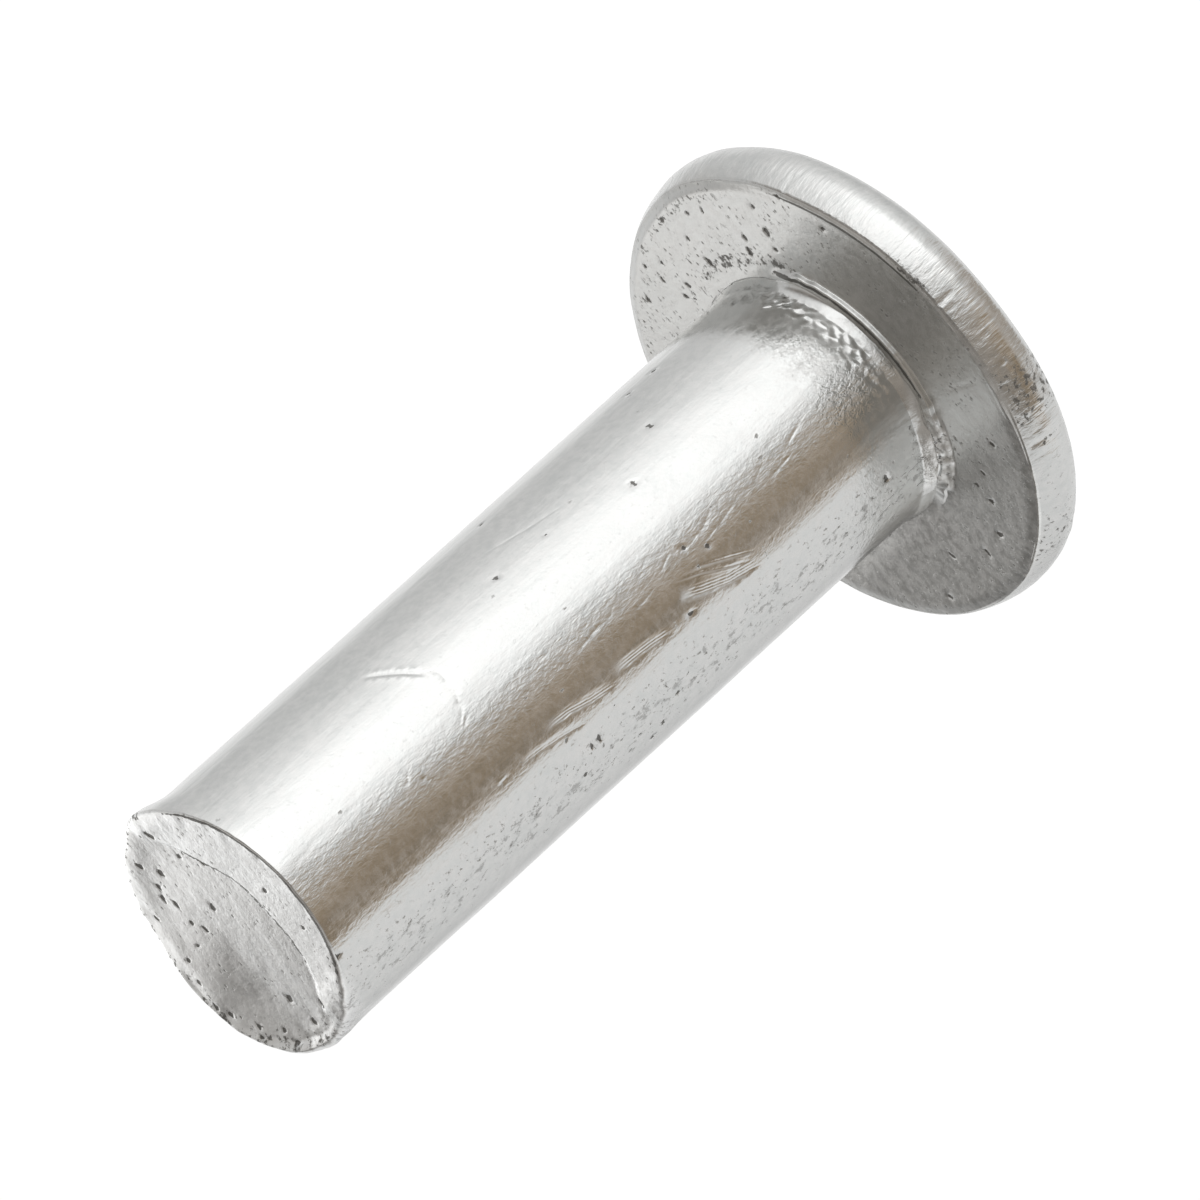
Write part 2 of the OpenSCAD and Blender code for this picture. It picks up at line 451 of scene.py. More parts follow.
# ---------------------------------------------------------------- the forms of the real rivet
# In the forms below out and lift are how far a point moves outwards and upwards, in
# millimetres. side() takes the azimuth where a feature lies and how many degrees it reaches,
# and rise() the radius or height across which it comes or goes. Azimuth -90 is the front.
def head_form(x, y, z, r, azimuth):
    """The struck head: off centre, a little out of round, its land and edges uneven."""
    out, lift, dirt = out_of_round(x, y, r, azimuth), 0.0, 0.0
    if z > HEAD_T - TINY:
        lift, dirt = face_relief(x, y, r, azimuth)
        out += land_reach(r, azimuth)
    lift += edge_wear(x, y, z, r, azimuth)
    if r > 6.4:
        out -= 0.13 * max(0.0, 1.15 - z) ** 2 * rise(6.4, 7.0, r)
    if r > RIM_FROM_R and 0.1 < z < HEAD_T - TINY:
        out += rim_relief(azimuth, z) + 0.014 * rough(x, y, z * 0.5, 1.4, 3.0)
        out += 0.014 * rough(x, y, z * 0.4, 0.35, 6.0) * (0.4 + 1.2 * side(azimuth, -150, 40))
    scale = 1 + out / max(r, 1.0)
    slide = rise(4.7, 6.9, r)
    return (x * scale + HEAD_SHIFT[0] * slide, y * scale + HEAD_SHIFT[1] * slide, z + lift), dirt


def out_of_round(x, y, r, azimuth):
    """The head's outline: a little oval and wavy, and flatter at the left."""
    out = 0.05 * math.cos(math.radians(2 * (azimuth - 20))) + 0.04 * rough(x, y, 0, 3.0, 5.0)
    out -= 0.1 * side(azimuth, 14, 18, 6)
    return out * rise(5.5, EDGE_R, r)


def face_relief(x, y, r, azimuth):
    """The bearing face's marks, waves, two low swells and land, and the dirt in its pits."""
    height, dirt = face_marks.relief(Vector((x, y))) if r > LAND_R + 0.05 else (0.0, 0.0)
    height += 0.012 * rough(x, y, 0, 1.6, 1.0) + 0.006 * rough(x, y, 0, 0.5, 4.0)
    height += 0.045 * (1 - rise(0.0, 2.4, math.hypot(x + 3.4, y + 6.4)))
    height += 0.04 * rise(-0.6, 2.6, y) * rise(3.8, 4.6, -x)
    return height + land_height(x, y, r, azimuth), dirt


def edge_wear(x, y, z, r, azimuth):
    """The head's edges: soft on the left and burred at the front, and worn below the front."""
    if z <= RIM_MIDDLE:
        return 0.08 * side(azimuth, -98, 50) * rise(6.5, 7.3, r) * (RIM_MIDDLE - z)
    fade = (z - RIM_MIDDLE) / (HEAD_T - RIM_MIDDLE)
    soft = 0.15 * side(azimuth, 15, 75) + 0.05
    ridge = 1 - rise(0.02, 0.12, abs(r - EDGE_R + 0.01))
    burr = 0.06 * side(azimuth, -106, 22) + 0.03 * side(azimuth, -62, 40)
    burr *= ridge * (1 + 0.7 * rough(x, y, 0, 0.4, 8.0))
    return fade * (burr - soft * rise(6.92, 7.32, r))


def root_shares(azimuth):
    """How much the root is a raised land, a plain tight corner, or a rough slope here."""
    land = max(side(azimuth, -82, 14, 36), side(azimuth, 95, 25, 25))
    return land, side(azimuth, 0, 20, 32), side(azimuth, -142, 18, 10)


def steep_root(azimuth):
    """Where the shank meets the head without a rounding, at its right side."""
    return side(azimuth, -176, 14, 20)


def root_foot(azimuth):
    """How far out and how high the root's foot lies on the land."""
    land, tight, slope = root_shares(azimuth)
    out = ROOT_R + 0.08 * slope - 0.2 * tight - 0.06 * side(azimuth, -75, 25, 25)
    return out - 0.14 * steep_root(azimuth), LAND_H * land + 0.25 * slope


def land_reach(r, azimuth):
    """How far the flat round the root is moved outwards at radius r."""
    moved = (root_foot(azimuth)[0] - ROOT_R) * (1 - rise(0.0, 0.6, r - ROOT_R))
    ragged = 0.05 * rough(azimuth / 4, 0, 0, 1.0, 6.0) * (1 - 0.6 * side(azimuth, -85, 55))
    ragged += 0.06 * root_shares(azimuth)[2] * rough(azimuth / 3.2, r * 2, 0, 1.0, 3.0)
    return moved + ragged * (1 - rise(0.0, 0.3, abs(r - LAND_R)))


def land_height(x, y, r, azimuth):
    """The raised land round the root: a step at the front and back, a rough slope at the right."""
    _, tight, slope = root_shares(azimuth)
    step = rise(-0.02, 0.03 + 0.25 * tight, LAND_R - r)
    step += slope * (min(max((LAND_R + 0.15 - r) / 0.46, 0.0), 1.0) - step)
    height = root_foot(azimuth)[1] * step
    lumps = 0.011 * rough(x, y, 0, 0.25, 2.0) + slope * 0.026 * rough(x, y, 0, 0.22, 5.0)
    return height + lumps * rise(-0.12, 0.1, LAND_R - r)


def rim_relief(azimuth, z):
    """Scores across the rim from the heading tool, and dents at its front right."""
    height = 0.0
    dented = side(azimuth, -118, 12, 6) * rise(0.3, 0.6, z) * (1 - rise(1.5, 1.75, z))
    if dented > 0:
        cell = noise.voronoi(Vector((math.radians(azimuth) * HEAD_R / 0.3, z / 0.42, 3.0)))[0]
        height -= 0.03 * dented * (cell[1] - cell[0])
    for place, low, high, half, depth in RIM_GROOVES:
        gap = math.radians(turned(azimuth, place)) * HEAD_R
        if gap < 2 * half:
            taper = rise(low - 0.1, low + 0.15, z) * (1 - rise(high - 0.05, high + 0.1, z))
            height -= depth * taper * (1 - min(gap / half, 1.0) ** 2) ** 2
            height += 0.3 * depth * taper * rise(0.7, 1.2, gap / half) * (1 - rise(1.2, 2.0, gap / half))
    return height


def shank_form(x, y, z, r, azimuth):
    """The drawn shank: marked, slightly wavy, hammered and spread just above the land."""
    above = z - HEAD_T
    out, dirt = shank_marks.relief(on_shank(azimuth, above)) if z > ROOT_Z else (0.0, 0.0)
    out += 0.010 * rough(x, y, z * 0.5, 2.6, 1.0) + 0.005 * rough(x, y, z * 0.6, 0.9, 2.0)
    out += 0.1 * side(azimuth, 180, 50)
    _, tight, slope = root_shares(azimuth)
    front = side(azimuth, -86, 50, 10)
    flare = 0.25 * front * max(0.0, 1 - max(above, ROOT_H) / 2.3) ** 2
    flare += 0.12 * side(azimuth, 180, 22) * max(0.0, 1 - above / 1.2) ** 2
    out += flare
    if above < ROOT_H:
        t = (above - LAND_H) / FILLET_R
        foot, height = root_foot(azimuth)
        straight = foot * (1 - t) + SHANK_R * t - flare * (1 - t)
        out += max(front, tight, slope, steep_root(azimuth)) * (straight - r)
        z = HEAD_T + height * (1 - t) + ROOT_H * t
    out += slope * 0.032 * rough(x, y, z, 0.24, 8.0) * (1 - rise(0.1, 0.45, abs(above - 0.4)))
    root = (1 - rise(0.8, 1.3, above)) * rise(0.34, 0.5, above)
    root *= 0.15 + 0.85 * side(azimuth, -68, 25, 20)
    if root > 0:
        patch = noise.voronoi(Vector((x, y, z * 0.8)) / 0.3)[0]
        out -= root * 0.045 * (patch[1] - patch[0])
        out += root * 0.015 * rough(x, y, z, 0.2, 5.0)
    if above > ROOT_H:
        spot = on_shank(azimuth, above)
        out += sum(scrape_depth(spot, *s) for s in scrapes if abs(spot.x - s[0][0].x) < 1.5)
    scale = 1 + out / r
    return (x * scale, y * scale, z), dirt


def end_form(x, y, z, r, azimuth):
    """The cropped end: sharp and raised along the front, torn up at the far right, dished."""
    near_top = rise(TOP_Z - 1.6, TOP_Z - 0.3, z)
    lift, dirt = near_top * cut_height(x, y, r, azimuth), 0.0
    out = near_top * cut_reach(x, y, azimuth)
    burr = 0.23 * side(azimuth, 23, 38, 12) + 0.03 * side(azimuth, -8, 26, 4)
    out += burr * rise(TOP_Z - 1.2, TOP_Z - 0.05, z)
    sharp = side(azimuth, -68, 62, 38)
    if is_end(Vector((x, y, z))):
        height, dirt = end_marks.relief(Vector((x, y)))
        lift += height + dished(x, y, r)
        out += 0.22 * sharp * rise(1.2, END_FLAT_R, r)
    elif z > TOP_Z - END_EDGE_R - TINY:
        turn = math.atan2(z - TOP_Z + END_EDGE_R, max(r - END_FLAT_R, TINY))
        out += sharp * (SHANK_R - SHARP_EDGE_R * (1 - math.cos(turn)) - r)
        lift += sharp * (TOP_Z - SHARP_EDGE_R * (1 - math.sin(turn)) - z)
    if z > TOP_Z - END_EDGE_R:
        lift += 0.02 * rough(x, y, 0, 0.45, 1.0) * rise(3.0, 3.6, r)
    broken = side(azimuth, -168, 30, 15) * near_top * rise(2.9, 3.5, r)
    out += 0.05 * rough(x, y, z, 0.32, 9.0) * broken
    lift += 0.03 * rough(x, y, z, 0.3, 4.0) * broken
    scale = 1 + out / max(r, 1.0)
    return (x * scale, y * scale, z + lift), dirt


def cut_height(x, y, r, azimuth):
    """The cut's height over its level place: leaning, turned up at the back, raised in front."""
    high = math.radians(END_HIGH_SIDE)
    height = END_LEAN * (x * math.cos(high) + y * math.sin(high))
    height += 0.085 * min(max(0.0, y - 1.0), 2.2) * (1 - rise(-1.2, 2.0, x))
    height += 0.045 * max(0.0, -x - 1.6) * rise(0.0, 2.0, y)
    height += 0.085 * max(0.0, min(ledge_height(x) - y, 2.3))
    return height + 0.045 * side(azimuth, 12, 36, 10) * rise(2.8, 3.85, r)


def cut_reach(x, y, azimuth):
    """How far the shank spreads at the cut: out at the back right, in at the back, uneven."""
    out = 0.10 * side(azimuth, 150, 50) - 0.08 * side(azimuth, 88, 20, 10)
    return out + 0.03 * rough(x, y, 0, 0.9, 3.0)


def dished(x, y, r):
    """The torn end: a step down at the ledge, dying out near the edge, then the dish."""
    inside = rise(-0.02, 0.08, y - ledge_height(x))
    bowl = rise(-1.3, 1.5, y) * (1 - rise(1.5, 3.4, y)) * (1 - rise(-2.6, 1.6, x))
    torn = 0.006 * rough(x * 0.6, y * 1.2 + x * 0.3, 0, 0.5, 2.0) * rise(0.2, 0.8, r)
    return inside * (torn - 0.045 * (1 - rise(2.4, 3.4, r) * rise(-0.5, 1.0, x))) - 0.14 * bowl


def ledge_height(x):
    for a, b in zip(END_LEDGE, END_LEDGE[1:]):
        if b[0] <= x <= a[0]:
            return a[1] + (b[1] - a[1]) * (x - a[0]) / (b[0] - a[0])
    return END_LEDGE[0][1] if x > 0 else END_LEDGE[-1][1]


def head_dirt_and_shade(z, r, azimuth):
    """Dirt and painted shade along the head's front edge and at the land's foot, and dirt on the rim's
    right side.
    """
    # Partly dirt and partly painted shade under the burr: a dark line along the front edge and a ragged
    # dark band on the rim beside it.
    edge = side(azimuth, -64, 30, 8) * (1 - rise(0.02, 0.07, abs(r - EDGE_R + 0.03)))
    edge *= rise(1.7, 1.85, z)
    edge = max(edge, 0.56 * side(azimuth, -82, 18) * rise(1.5, 1.8, z) * rise(7.2, 7.26, r))
    # Partly dirt and partly painted shade: a dark line on the land just inside its step, at the front.
    foot = 0.72 * side(azimuth, -75, 20, 32) * (1 - rise(0.03, 0.1, abs(r - LAND_R + 0.12)))
    specks = 0.5 * side(azimuth, -22, 16, 22) * (1 - rise(0.12, 0.4, abs(r - LAND_R - 0.17)))
    border = 0.45 * side(azimuth, -4, 24, 18) * (1 - rise(0.15, 0.45, abs(r - 6.85)))
    slope = 0.44 * root_shares(azimuth)[2] * (1 - rise(0.25, 0.35, abs(r - LAND_R + 0.1)))
    sides = max(0.46 * side(azimuth, -158, 32), 0.47 * side(azimuth, -117, 14, 4))
    crack = 0.55 * side(azimuth, -129.5, 2.2) * rise(0.3, 0.5, z) * (1 - rise(1.3, 1.5, z))
    sides = max(sides, crack) * rise(7.25, 7.35, r)
    return max(edge, foot, specks, border, slope, sides)


def end_dirt_and_shade(x, y, z, r, azimuth):
    """A dark line along the cut's edge, dirt over its back right, and dirt and painted shade at its ledge.
    """
    # A dark line along the cut's edge, strongest at the front.
    share = 0.2 + max(0.8 * side(azimuth, -80, 50, 30), 0.27 * side(azimuth, 100, 30, 90))
    cut = (1 - rise(0.04, 0.17, abs(r - END_FLAT_R - 0.05))) * share
    cut = max(cut, 0.42 * side(azimuth, 140, 50, 45) * rise(2.9, 3.3, r))
    cut = max(cut, 0.5 * side(azimuth, 6, 16, 8) * rise(3.62, 3.72, r))
    if not is_end(Vector((x, y, z))):
        return cut
    # Partly dirt and partly painted shade: the dark line at the foot of the ledge.
    line = 1 - rise(0.06, 0.15, abs(y - ledge_height(x) - 0.05))
    return max(cut, 0.62 * line * (1 - rise(2.2, 3.2, r)))


def grime_and_painted_shade(x, y, z, r, azimuth):
    """How much dirt, and painted shade along the head's front edge, at the land's foot and at the end's
    ledge, lies at a point of the turned blank.
    """
    if z < HEAD_T + TINY:
        return head_dirt_and_shade(z, r, azimuth)
    if z < HEAD_T + 0.9:
        return 0.5 * side(azimuth, -125, 12) * (1 - rise(0.1, 0.3, abs(z - HEAD_T - 0.5)))
    if z > TOP_Z - END_EDGE_R - TINY:
        return end_dirt_and_shade(x, y, z, r, azimuth)
    return 0.0


def formed(co):
    """Where a point of the turned blank lies on the real rivet, and how dirty it is there."""
    x, y, z = co
    r = math.hypot(x, y)
    azimuth = math.degrees(math.atan2(y, x))
    if z < HEAD_T + TINY:
        return head_form(x, y, z, r, azimuth)
    (x, y, z), dirt = shank_form(x, y, z, r, azimuth) if z < TOP_Z - TINY else ((x, y, z), 0.0)
    if z > TOP_Z - 1.7:
        (x, y, z), end_dirt = end_form(x, y, z, r, azimuth)
        dirt = max(dirt, end_dirt)
    return (x, y, z), dirt


def zones(co):
    """How much of each finish a point of the turned blank has."""
    x, y, z = co
    r = math.hypot(x, y)
    azimuth = math.degrees(math.atan2(y, x))
    shank = rise(HEAD_T + 0.1, HEAD_T + 0.3, z) * (1 - rise(TOP_Z - 0.3, TOP_Z - 0.1, z))
    broken = side(azimuth, -168, 28, 14) * rise(TOP_Z - 1.0, TOP_Z - 0.4, z) * rise(2.9, 3.5, r)
    side_rim = 0.75 * side(azimuth, -158, 22, 10) * rise(7.25, 7.35, r) * (1 - rise(1.8, 1.85, z))
    _, tight, slope = root_shares(azimuth)
    inner = LAND_R - 0.5 * max(tight, slope, steep_root(azimuth))
    struck = rise(inner, inner + 0.1, r) * (1 - rise(0.0, 0.03, abs(z - HEAD_T)))
    return {
        "struck": max(struck, 1 - rise(0.0, 0.05, z)),
        "cropped": rise(TOP_Z - 0.25 - 0.6 * side(azimuth, -165, 45), TOP_Z - 0.02, z),
        "rim": rise(7.1, 7.3, r) * rise(0.02, 0.2, z) * (1 - rise(HEAD_T - 0.1, HEAD_T, z)),
        "rubbed": shank * (0.1 + 0.9 * side(azimuth, -96, 12, 3) + 0.5 * side(azimuth, -121, 6)),
        "mottled": max(shank * side(azimuth, -145, 20, 5), broken, side_rim),
        "grime_and_painted_shade": grime_and_painted_shade(x, y, z, r, azimuth),
    }


# ---------------------------------------------------------------- the rivet
def make_rivet():
    bm = spun_blank()
    refine(bm)
    names = ("struck", "cropped", "rim", "rubbed", "mottled", "grime_and_painted_shade", "dirt")
    for name in names:
        bm.verts.layers.float.new(name)
    layers = {name: bm.verts.layers.float[name] for name in names}
    for v in bm.verts:
        for name, share in zones(v.co).items():
            v[layers[name]] = share
        place, v[layers["dirt"]] = formed(v.co)
        v.co = Vector(place) * MM
    bmesh.ops.recalc_face_normals(bm, faces=bm.faces[:])
    mesh = bpy.data.meshes.new("headed_rivet")
    bm.to_mesh(mesh)
    bm.free()
    mesh.shade_smooth()
    piece = bpy.data.objects.new("headed_rivet", mesh)
    bpy.context.scene.collection.objects.link(piece)
    return piece


# ---------------------------------------------------------------- material
PLAIN_METAL = (0.66, 0.672, 0.662), (0.79, 0.786, 0.772)
TORN_METAL = (0.85, 0.862, 0.857), (0.95, 0.95, 0.943)
SPECK_GREY = (0.34, 0.34, 0.325)
# The colour of dirt, and of the painted shade lines along the head's front edge, the land's foot and the
# end's ledge.
DIRT_AND_SHADE_GREY = (0.22, 0.216, 0.206)
PITTED_ROUGHNESS = 0.5


def node(tree, kind, **settings):
    made = tree.nodes.new(kind)
    for name, value in settings.items():
        setattr(made, name, value)
    return made


def math_node(tree, operation, first, second=0.0, clamp=False):
    """The result of one sum on two values, each a socket or a plain number."""
    made = node(tree, "ShaderNodeMath", operation=operation, use_clamp=clamp)
    for socket, value in zip(made.inputs, (first, second)):
        if isinstance(value, bpy.types.NodeSocket):
            tree.links.new(value, socket)
        else:
            socket.default_value = value
    return made.outputs[0]


def span(tree, value, from_low, from_high, to_low=0.0, to_high=1.0):
    """The number that rises smoothly from to_low to to_high as value crosses its own span."""
    made = node(tree, "ShaderNodeMapRange", interpolation_type="SMOOTHSTEP")
    tree.links.new(value, made.inputs["Value"])
    made.inputs["From Min"].default_value = from_low
    made.inputs["From Max"].default_value = from_high
    made.inputs["To Min"].default_value = to_low
    made.inputs["To Max"].default_value = to_high
    return made.outputs[0]


def stretched(tree, scale):
    """Object coordinates in millimetres, each direction scaled by its own amount."""
    coord = node(tree, "ShaderNodeTexCoord")
    mapping = node(tree, "ShaderNodeMapping")
    mapping.inputs["Scale"].default_value = tuple(s / MM for s in scale)
    tree.links.new(coord.outputs["Object"], mapping.inputs["Vector"])
    return mapping.outputs[0]


def grain(tree, scale, detail=2.0, roughness=0.5, distortion=0.0):
    """Noise from 0 to 1, with scale giving its bumps per millimetre in each direction."""
    made = node(tree, "ShaderNodeTexNoise")
    made.inputs["Scale"].default_value = 1.0
    made.inputs["Detail"].default_value = detail
    made.inputs["Roughness"].default_value = roughness
    made.inputs["Distortion"].default_value = distortion
    tree.links.new(stretched(tree, scale), made.inputs["Vector"])
    return made.outputs["Fac"]


def specks(tree, scale, share, size):
    """Scattered small pits: 1 inside a speck. Share is how many cells hold one."""
    warp = node(tree, "ShaderNodeTexNoise")
    warp.inputs["Scale"].default_value = 5.0
    warp.inputs["Detail"].default_value = 2.0
    place = stretched(tree, scale)
    tree.links.new(place, warp.inputs["Vector"])
    mixed = node(tree, "ShaderNodeMix", data_type="VECTOR")
    mixed.inputs["Factor"].default_value = 0.24
    tree.links.new(place, mixed.inputs[4])
    moved = node(tree, "ShaderNodeVectorMath", operation="ADD")
    tree.links.new(place, moved.inputs[0])
    tree.links.new(warp.outputs["Color"], moved.inputs[1])
    tree.links.new(moved.outputs[0], mixed.inputs[5])
    cells = node(tree, "ShaderNodeTexVoronoi")
    cells.inputs["Scale"].default_value = 1.0
    tree.links.new(mixed.outputs[1], cells.inputs["Vector"])
    split = node(tree, "ShaderNodeSeparateColor")
    tree.links.new(cells.outputs["Color"], split.inputs[0])
    chosen = span(tree, split.outputs[0], 1 - share, 1 - share * 0.3)
    reach = math_node(tree, "MULTIPLY", chosen, size)
    inside = math_node(tree, "SUBTRACT", reach, cells.outputs["Distance"])
    strength = span(tree, split.outputs[1], 0.0, 1.0, 0.3, 1.0)
    return math_node(tree, "MULTIPLY", span(tree, inside, 0.0, size * 0.5), strength)


def attribute(tree, name):
    return node(tree, "ShaderNodeAttribute", attribute_name=name).outputs["Fac"]


def blend(tree, share, first, second):
    """A number that goes from first to second as share goes from 0 to 1."""
    made = node(tree, "ShaderNodeMix", data_type="FLOAT")
    for socket, value in zip((made.inputs[0], made.inputs[2], made.inputs[3]), (share, first, second)):
        if isinstance(value, bpy.types.NodeSocket):
            tree.links.new(value, socket)
        else:
            socket.default_value = value
    return made.outputs[0]


def tinted(tree, share, first, second):
    """A colour that goes from first to second as share goes from 0 to 1."""
    made = node(tree, "ShaderNodeMix", data_type="RGBA")
    for socket, value in zip((made.inputs[0], made.inputs[6], made.inputs[7]), (share, first, second)):
        if isinstance(value, bpy.types.NodeSocket):
            tree.links.new(value, socket)
        elif socket.type == "RGBA":
            socket.default_value = (*value, 1)
        else:
            socket.default_value = value
    return made.outputs[2]


def bumped(tree, height, distance, before=None):
    """The normal after a relief distance millimetres high, laid over the one before it."""
    made = node(tree, "ShaderNodeBump")
    made.inputs["Strength"].default_value = 1.0
    made.inputs["Distance"].default_value = distance * MM
    tree.links.new(height, made.inputs["Height"])
    if before:
        tree.links.new(before, made.inputs["Normal"])
    return made.outputs[0]


def aluminium():
    """Bare drawn aluminium: rubbed shank, matt struck face, torn end, dirt in the pits, and dark lines of
    dirt and painted shade.
    """
    material = bpy.data.materials.new("bare_aluminium")
    material.use_nodes = True
    tree = material.node_tree
    shader = tree.nodes["Principled BSDF"]
    struck, cropped, rim, dirt, rubbed, mottled = (
        attribute(tree, name) for name in ("struck", "cropped", "rim", "dirt", "rubbed", "mottled")
    )
    flat = math_node(tree, "MAXIMUM", struck, cropped)
    curved = math_node(tree, "SUBTRACT", 1.0, flat, clamp=True)

    drawn = grain(tree, (2.4, 2.4, 0.4), 3.0, 0.5)
    relief = grain(tree, (9.0, 9.0, 4.2), 3.0, 0.6, 0.4)
    fine = grain(tree, (15.0, 15.0, 8.0), 2.0, 0.6)
    across = grain(tree, (7.0, 7.0, 0.8), 3.0, 0.6)
    sheared = grain(tree, (1.6, 7.0, 2.0), 3.0, 0.6)
    clouds = grain(tree, (0.55, 0.55, 0.35), 2.0, 0.5)
    ragged = grain(tree, (5.6, 5.6, 5.6), 4.0, 0.65)
    mottle = span(tree, grain(tree, (3.2, 4.0, 3.2), 4.0, 0.65), 0.3, 0.7)

    cluster = span(tree, grain(tree, (0.9, 0.9, 0.7), 2.0, 0.5), 0.36, 0.56)
    face_specks = span(tree, grain(tree, (3.4, 7.5, 4.0), 4.0, 0.7), 0.61, 0.69)
    fine_specks = specks(tree, (5.5, 9.5, 7.0), 0.42, 0.42)
    bare_specks = specks(tree, (1.9, 1.9, 1.4), 0.15, 0.13)
    flecks = span(tree, grain(tree, (6.5, 6.5, 4.5), 4.0, 0.7), 0.6, 0.69)
    on_face = math_node(tree, "MULTIPLY", math_node(tree, "MAXIMUM", face_specks, fine_specks), struck)
    on_end = math_node(tree, "MULTIPLY", fine_specks, cropped)
    patchy = math_node(tree, "MULTIPLY", flecks, math_node(tree, "MAXIMUM", mottled, 0.1))
    on_bare = math_node(tree, "MAXIMUM", bare_specks, patchy)
    on_bare = math_node(tree, "MULTIPLY", on_bare, curved)
    clustered = math_node(tree, "MULTIPLY", math_node(tree, "ADD", on_face, on_end), cluster)
    pitted = math_node(tree, "MAXIMUM", clustered, on_bare)
    # Dirt in the pits and the painted shade lines darken the base colour here.
    dirt_and_shade = math_node(tree, "MAXIMUM", dirt, attribute(tree, "grime_and_painted_shade"))
    dirt_and_shade = span(tree, math_node(tree, "ADD", dirt_and_shade, ragged), 0.98, 1.1)
    blotches = grain(tree, (4.4, 4.4, 2.4), 4.0, 0.7)
    blotches = math_node(tree, "ADD", blotches, math_node(tree, "MULTIPLY", mottled, 0.4))
    dirt_and_shade = math_node(tree, "MAXIMUM", dirt_and_shade, span(tree, blotches, 0.93, 1.04, 0.0, 0.5))

    varied = blend(tree, 0.5, clouds, mottle)
    plain = tinted(tree, varied, *PLAIN_METAL)
    torn = tinted(tree, varied, *TORN_METAL)
    plain = tinted(tree, cropped, plain, torn)
    speckled = tinted(tree, pitted, plain, SPECK_GREY)
    dirty = tinted(tree, dirt_and_shade, speckled, DIRT_AND_SHADE_GREY)
    tree.links.new(dirty, shader.inputs["Base Color"])
    shader.inputs["Metallic"].default_value = 1.0

    smooth = span(tree, varied, 0.3, 0.7, 0.12, 0.22)
    matt = span(tree, mottle, 0.0, 1.0, 0.29, 0.39)
    rough_level = blend(tree, flat, smooth, matt)
    rough_level = blend(tree, math_node(tree, "MAXIMUM", pitted, dirt_and_shade), rough_level, PITTED_ROUGHNESS)
    tree.links.new(rough_level, shader.inputs["Roughness"])

    normal = bumped(tree, math_node(tree, "MULTIPLY", drawn, curved), 0.02)
    normal = bumped(tree, math_node(tree, "MULTIPLY", relief, rubbed), 0.019, normal)
    normal = bumped(tree, math_node(tree, "MULTIPLY", across, rim), 0.024, normal)
    normal = bumped(tree, fine, 0.002, normal)
    normal = bumped(tree, math_node(tree, "MULTIPLY", ragged, mottled), 0.02, normal)
    normal = bumped(tree, math_node(tree, "MULTIPLY", sheared, cropped), 0.004, normal)
    normal = bumped(tree, math_node(tree, "MULTIPLY", mottle, flat), 0.0045, normal)
    normal = bumped(tree, math_node(tree, "MULTIPLY", pitted, -1.0), 0.008, normal)
    tree.links.new(normal, shader.inputs["Normal"])
    return material


# ---------------------------------------------------------------- studio
FLOOR_HALF = 2.0  # metres
FLOOR_TONE = 0.3
FLOOR_GLOW = 0.92

# The lamp, in millimetres: its width and height, its middle, and how bright it shines.
LAMP_WIDE, LAMP_TALL = 20, 40
LAMP_PLACE = (10.0, 30.0, 33.0)
LAMP_RADIANCE = 0.8

# What the metal sees, from below the horizon to above it. Each ring is its height in degrees,
# how warm its dark parts are, and the azimuths round it with their brightness. A tall soft
# lamp stands front right, a dark card front left, and pale walls all round.
RINGS = [
    (-62, 0.6, [(-180, 0.8), (-150, 0.5), (-110, 0.34), (-85, 0.5), (-50, 0.72), (-10, 0.62), (30, 0.66),
                (60, 0.8), (110, 0.85), (150, 0.78), (180, 0.8)]),
    (-44, 0.6, [(-180, 0.85), (-150, 0.7), (-120, 0.42), (-95, 0.5), (-74, 0.8), (-50, 0.95), (-20, 0.85),
                (30, 0.72), (60, 0.82), (110, 0.85), (150, 0.8), (180, 0.85)]),
    (-28, 1.0, [(-180, 0.81), (-158, 0.88), (-149, 0.38), (-140, 0.2), (-124, 0.27), (-108, 0.42),
                (-96, 0.62), (-82, 1.12), (-70, 1.5), (-45, 1.5), (-30, 1.28), (-10, 0.96), (15, 0.71),
                (40, 0.64), (60, 0.9), (88, 1.05), (104, 0.84), (122, 0.62), (150, 0.76), (180, 0.81)]),
    (6, 0.45, [(-180, 0.8), (-152, 0.66), (-140, 0.24), (-104, 0.34), (-90, 0.7), (-72, 1.2), (-48, 1.35),
               (-28, 1.0), (-8, 0.78), (15, 0.6), (38, 0.54), (58, 0.7), (90, 0.9), (140, 0.78),
               (180, 0.8)]),
    (34, 0.3, [(-180, 0.85), (-165, 0.75), (-150, 0.45), (-134, 0.3), (-90, 0.17), (-45, 0.2), (0, 0.22),
               (28, 0.62), (45, 0.6), (70, 0.22), (108, 0.05), (132, 0.42), (151, 1.15), (180, 0.85)]),
    (62, 0.3, [(-180, 0.35), (-90, 0.2), (0, 0.4), (60, 0.5), (120, 0.14), (180, 0.35)]),
]


def lit(level, warmth):
    """Neutral where bright, turning warm where the dark card is."""
    warm = warmth * (1 - rise(0.3, 0.62, level))
    return level * (1 + 0.19 * warm), level * (1 - 0.07 * warm), level * (1 - 0.34 * warm), 1.0


def ring_ramp(tree, turn, warmth, stops):
    made = node(tree, "ShaderNodeValToRGB")
    made.color_ramp.interpolation = "EASE"
    elements = made.color_ramp.elements
    while len(elements) < len(stops):
        elements.new(0.5)
    for element, (azimuth, level) in zip(elements, stops):
        element.position = azimuth / 360 + 0.5
        element.color = lit(level, warmth)
    tree.links.new(turn, made.inputs[0])
    return made.outputs[0]


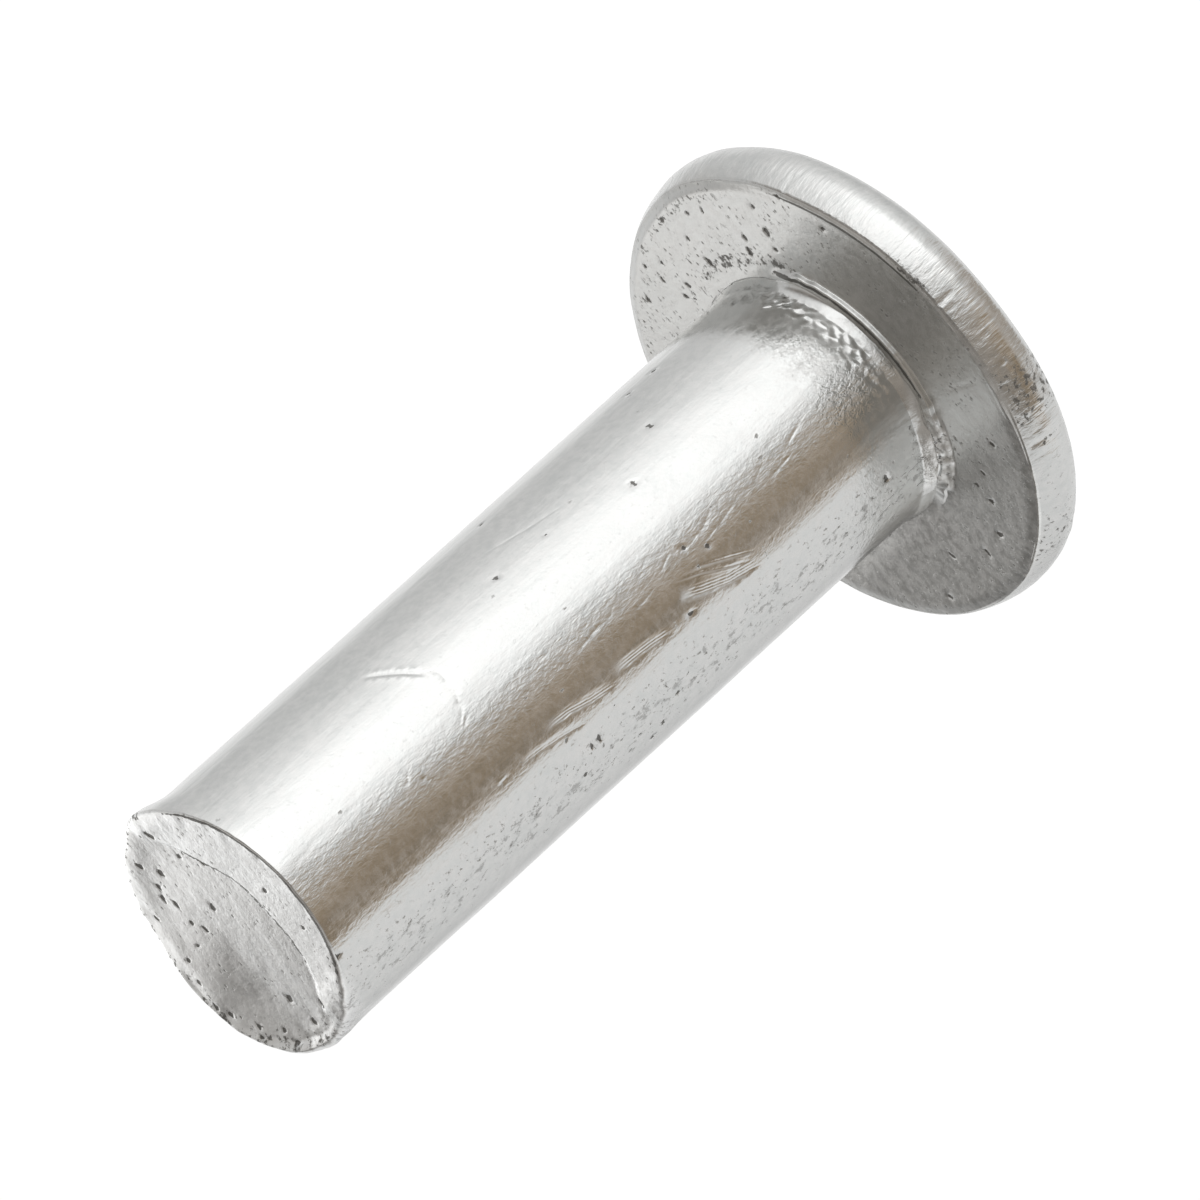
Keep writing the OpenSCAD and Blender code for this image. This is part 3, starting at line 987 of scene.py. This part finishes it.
def studio():
    world = bpy.data.worlds.new("studio")
    bpy.context.scene.world = world
    world.use_nodes = True
    tree = world.node_tree
    tree.nodes.clear()
    coord = node(tree, "ShaderNodeTexCoord")
    split = node(tree, "ShaderNodeSeparateXYZ")
    tree.links.new(coord.outputs["Generated"], split.inputs[0])
    angle = math_node(tree, "ARCTAN2", split.outputs["Y"], split.outputs["X"])
    turn = math_node(tree, "ADD", math_node(tree, "DIVIDE", angle, math.tau), 0.5)
    seen = ring_ramp(tree, turn, *RINGS[0][1:])
    for (low, *_), (high, *ring) in zip(RINGS, RINGS[1:]):
        climb = span(tree, split.outputs["Z"], math.sin(math.radians(low)), math.sin(math.radians(high)))
        seen = tinted(tree, climb, seen, ring_ramp(tree, turn, *ring))
    rays = node(tree, "ShaderNodeLightPath")
    seen = tinted(tree, rays.outputs["Is Camera Ray"], seen, (1, 1, 1))
    background = node(tree, "ShaderNodeBackground")
    out = node(tree, "ShaderNodeOutputWorld")
    tree.links.new(seen, background.inputs["Color"])
    tree.links.new(background.outputs[0], out.inputs[0])


def floor():
    bm = bmesh.new()
    bmesh.ops.create_grid(bm, x_segments=2, y_segments=2, size=FLOOR_HALF)
    mesh = bpy.data.meshes.new("floor")
    bm.to_mesh(mesh)
    bm.free()
    made = bpy.data.objects.new("floor", mesh)
    bpy.context.scene.collection.objects.link(made)
    material = bpy.data.materials.new("pale_floor")
    material.use_nodes = True
    tree = material.node_tree
    shader = tree.nodes["Principled BSDF"]
    shader.inputs["Base Color"].default_value = (FLOOR_TONE, FLOOR_TONE, FLOOR_TONE, 1)
    shader.inputs["Roughness"].default_value = 1.0
    shader.inputs["Specular IOR Level"].default_value = 0.0
    shader.inputs["Emission Color"].default_value = (1, 1, 1, 1)
    rays = node(tree, "ShaderNodeLightPath")
    level = math_node(tree, "MULTIPLY", rays.outputs["Is Camera Ray"], FLOOR_GLOW)
    tree.links.new(level, shader.inputs["Emission Strength"])
    made.data.materials.append(material)
    made.visible_glossy = False
    made.visible_shadow = False


def soft_lamp():
    """A soft lamp close behind the rivet, facing it, with one edge at the rivet's middle."""
    wide, tall = LAMP_WIDE * MM, LAMP_TALL * MM
    data = bpy.data.lights.new("soft_lamp", "AREA")
    data.shape = "RECTANGLE"
    data.size, data.size_y = wide, tall
    data.energy = LAMP_RADIANCE * math.pi * wide * tall
    made = bpy.data.objects.new("soft_lamp", data)
    bpy.context.scene.collection.objects.link(made)
    place = Matrix.Translation(Vector(LAMP_PLACE) * MM)
    made.matrix_world = place @ Matrix.Rotation(math.radians(-90), 4, "X")
    made.visible_camera = False


# ---------------------------------------------------------------- camera
CAMERA_LENS = 545.4
CAMERA_ABOVE = 31.03  # degrees
CAMERA_ROLL = -132.21  # degrees
CAMERA_AWAY = 496.86
CAMERA_AIM = (0.0, -0.86, 12.08)


def camera():
    """From the front and above, rolled so that the shank points to the lower left."""
    data = bpy.data.cameras.new("camera")
    data.sensor_width = 36.0
    data.lens = CAMERA_LENS
    data.clip_start = 0.01
    data.clip_end = 10.0
    made = bpy.data.objects.new("camera", data)
    bpy.context.scene.collection.objects.link(made)
    tilt = Matrix.Rotation(math.radians(90 - CAMERA_ABOVE), 4, "X")
    roll = Matrix.Rotation(math.radians(CAMERA_ROLL), 4, "Z")
    aim = Matrix.Translation(Vector(CAMERA_AIM) * MM)
    back = Matrix.Translation(Vector((0.0, 0.0, CAMERA_AWAY)) * MM)
    made.matrix_world = aim @ tilt @ back @ roll
    bpy.context.scene.camera = made


camera()
studio()
soft_lamp()
floor()
rivet = make_rivet()
rivet.data.materials.append(aluminium())
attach(rivet, "root")
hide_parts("rivet")

bpy.context.scene.view_settings.view_transform = "Standard"
